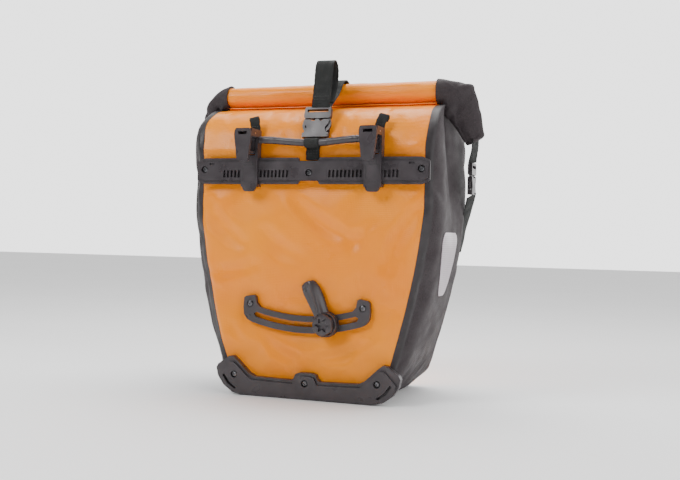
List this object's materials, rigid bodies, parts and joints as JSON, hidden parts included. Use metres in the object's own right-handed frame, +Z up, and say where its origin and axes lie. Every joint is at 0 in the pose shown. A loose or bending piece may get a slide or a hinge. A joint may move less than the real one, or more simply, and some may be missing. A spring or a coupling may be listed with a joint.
{
  "type": "bicycle pannier bag",
  "caption": "Roll-top bicycle pannier bag with a pinched side gusset, a hook rail with latching hooks, a lift handle, buckled straps and a swivelling lower hook.",
  "frame": {"origin": "centre of the underside of the bag's base, on the surface that the bag stands on", "axes": "+X along the hook rail, +Y from the rack side to the front of the bag, +Z up"},
  "size_m": [0.3997, 0.2094, 0.4374],
  "materials": {
    "tarpaulin": "glossy coated fabric, yellow-orange",
    "gusset_fabric": "matt woven, dark grey",
    "webbing": "ribbed, near black",
    "nylon": "moulded, semi-matt grey",
    "sheet_plastic": "plain sheet, dark",
    "steel": "plain",
    "black_steel": "blackened",
    "reflector": "silver reflective film",
    "mesh_fabric": "black mesh"
  },
  "bodies": {
    "bag": {"back_panel": "tarpaulin", "front_panel": "tarpaulin", "left_gusset": "gusset_fabric", "right_gusset": "gusset_fabric", "base_panel": "gusset_fabric", "back_stiffener": "sheet_plastic", "inner_pocket": "mesh_fabric", "left_reflector": "reflector", "right_reflector": "reflector", "roll_top": "tarpaulin", "closure_stiffener": "sheet_plastic", "left_roll_wing": "gusset_fabric", "right_roll_wing": "gusset_fabric", "top_strap": "webbing", "strap_patch": "gusset_fabric", "buckle_strap": "webbing", "top_buckle_socket": "nylon", "left_side_strap": "webbing", "right_side_strap": "webbing", "left_plug_strap": "webbing", "right_plug_strap": "webbing", "left_side_plug": "nylon", "right_side_plug": "nylon", "hook_rail": "nylon", "rail_screw_left": "black_steel", "rail_screw_centre": "black_steel", "rail_screw_right": "black_steel", "rail_nut_left": "steel", "rail_nut_centre": "steel", "rail_nut_right": "steel", "arc_rail": "nylon", "arc_screw_left": "black_steel", "arc_screw_right": "black_steel", "arc_nut_left": "steel", "arc_nut_right": "steel", "bumper": "nylon", "bumper_screw_left": "black_steel", "bumper_screw_centre": "black_steel", "bumper_screw_right": "black_steel", "bumper_nut_left": "steel", "bumper_nut_centre": "steel", "bumper_nut_right": "steel"},
    "top_plug": {"top_buckle_plug": "nylon", "strap_tail": "webbing"},
    "left_socket": {"left_side_socket": "nylon"},
    "right_socket": {"right_side_socket": "nylon"},
    "left_hook_body": {"left_hook": "nylon", "left_latch_pin": "steel", "left_pull_loop": "webbing"},
    "right_hook_body": {"right_hook": "nylon", "right_latch_pin": "steel", "right_pull_loop": "webbing"},
    "left_latch_body": {"left_latch": "nylon"},
    "right_latch_body": {"right_latch": "nylon"},
    "handle": {"handle_grip": "nylon", "handle_sleeve": "webbing"},
    "lower_carriage": {"lower_hook_base": "nylon", "lower_hook_nut": "steel"},
    "lower_fin": {"lower_hook": "nylon"},
    "lower_knob": {"lower_hook_knob": "nylon"}
  },
  "joints": [
    {"name": "left_hook_slide", "type": "slide", "parent": "bag", "child": "left_hook_body", "axis": [1, 0, 0], "range_m": [-0.021, 0]},
    {"name": "right_hook_slide", "type": "slide", "parent": "bag", "child": "right_hook_body", "axis": [1, 0, 0], "range_m": [0, 0.021]},
    {"name": "handle_lift", "type": "slide", "parent": "bag", "child": "handle", "axis": [0, -0.3, 0.9539], "range_m": [0, 0.007], "deforming": ["left_pull_loop", "right_pull_loop"]},
    {"name": "left_latch_turn", "type": "hinge", "parent": "left_hook_body", "child": "left_latch_body", "pos_m": [-0.0785, -0.108, 0.339], "axis": [1, 0, 0], "range_deg": [0, 28]},
    {"name": "right_latch_turn", "type": "hinge", "parent": "right_hook_body", "child": "right_latch_body", "pos_m": [0.0895, -0.108, 0.339], "axis": [1, 0, 0], "range_deg": [0, 28]},
    {"name": "lower_hook_shift", "type": "hinge", "parent": "bag", "child": "lower_carriage", "pos_m": [0, -0.0915, 0.339], "axis": [0, 1, 0], "range_deg": [-4, 16.5]},
    {"name": "lower_hook_swivel", "type": "hinge", "parent": "lower_carriage", "child": "lower_fin", "pos_m": [0.03053, -0.0951, 0.09732], "axis": [0, 1, 0], "range_deg": [-90, 90]},
    {"name": "lower_knob_turn", "type": "hinge", "parent": "lower_carriage", "child": "lower_knob", "pos_m": [0.03053, -0.1003, 0.09732], "axis": [0, 1, 0], "continuous": true},
    {"name": "top_buckle_release", "type": "slide", "parent": "bag", "child": "top_plug", "axis": [0, 0.309, 0.9511], "range_m": [0, 0.018], "deforming": ["top_strap"]},
    {"name": "left_side_release", "type": "slide", "parent": "bag", "child": "left_socket", "axis": [0, 0, -1], "range_m": [0, 0.016], "deforming": ["left_side_strap"]},
    {"name": "right_side_release", "type": "slide", "parent": "bag", "child": "right_socket", "axis": [0, 0, -1], "range_m": [0, 0.016], "deforming": ["right_side_strap"]}
  ],
  "couplings": [
    {"joint": "left_latch_turn", "follows": "handle_lift", "rad_per_m": 69},
    {"joint": "right_latch_turn", "follows": "handle_lift", "rad_per_m": 69}
  ]
}
